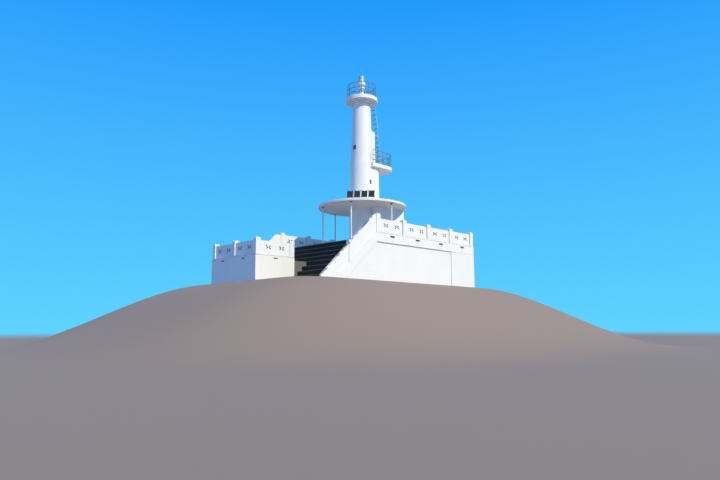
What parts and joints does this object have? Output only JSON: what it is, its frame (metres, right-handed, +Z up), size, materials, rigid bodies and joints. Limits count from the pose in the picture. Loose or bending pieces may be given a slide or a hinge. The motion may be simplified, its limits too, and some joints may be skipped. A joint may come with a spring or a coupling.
{
  "type": "lighthouse",
  "caption": "Small round concrete lighthouse with a balcony, an outside ladder, a railed gallery and a round canopy, on a walled terrace with steps and a landing.",
  "frame": {"origin": "on the tower's axis, at the level of the lowest wall foot", "axes": "+Z up; +Y from the steps towards the back wall; +X towards the terrace's near long side"},
  "size_m": [11.2, 17.74, 17.771],
  "materials": {
    "white_wall": "matt, weathered white paint on concrete",
    "white_tower": "matt white paint on concrete",
    "dark_step": "matt dark stone",
    "floor_concrete": "matt concrete",
    "fill": "rough",
    "screen_block": "matt white paint on concrete",
    "white_metal": "white paint, rusty in places",
    "ladder_metal": "white paint, rusty",
    "bracket_metal": "rusty orange primer",
    "pedestal_metal": "white paint with rust",
    "housing_metal": "satin white paint",
    "lens": "clear",
    "window_glass": "dark",
    "grey_door": "satin paint",
    "solar_cell": "smooth dark glass",
    "panel_metal": "satin"
  },
  "bodies": {
    "root": {"side_walls": "white_wall", "side_bands": "white_wall", "back_wall": "white_wall", "terrace_core": "fill", "terrace_floor": "floor_concrete", "side_parapets": "white_wall", "back_parapet": "white_wall", "parapet_posts": "white_wall", "near_stair_band": "white_wall", "near_stair_parapet": "white_wall", "far_stair_wall": "white_wall", "far_stair_parapet": "white_wall", "upper_steps": "dark_step", "lower_steps": "dark_step", "landing_floor": "floor_concrete", "landing_walls": "white_wall", "landing_parapet": "white_wall", "screen_blocks": "screen_block", "canopy_roof": "white_tower", "canopy_columns": "white_metal", "room_side_walls": "white_tower", "room_end_walls": "white_tower", "room_door": "grey_door", "base_odd_segments": "white_tower", "base_even_segments": "white_tower", "shaft_odd_segments": "white_tower", "shaft_even_segments": "white_tower", "balcony_slab": "white_tower", "door_bay": "white_tower", "balcony_door": "grey_door", "gallery_slab": "white_tower", "gallery_railing_odd_bays": "white_metal", "gallery_railing_even_bays": "white_metal", "balcony_side_rails": "white_metal", "balcony_end_rails": "white_metal", "ladder": "ladder_metal", "ladder_brackets": "bracket_metal", "window_frame": "white_metal", "window_glass": "window_glass", "louvre": "white_metal", "lantern_pedestal": "pedestal_metal", "lantern_housing": "housing_metal", "lantern_lens": "lens", "solar_panels": "solar_cell", "panel_frames": "panel_metal"}
  },
  "joints": []
}
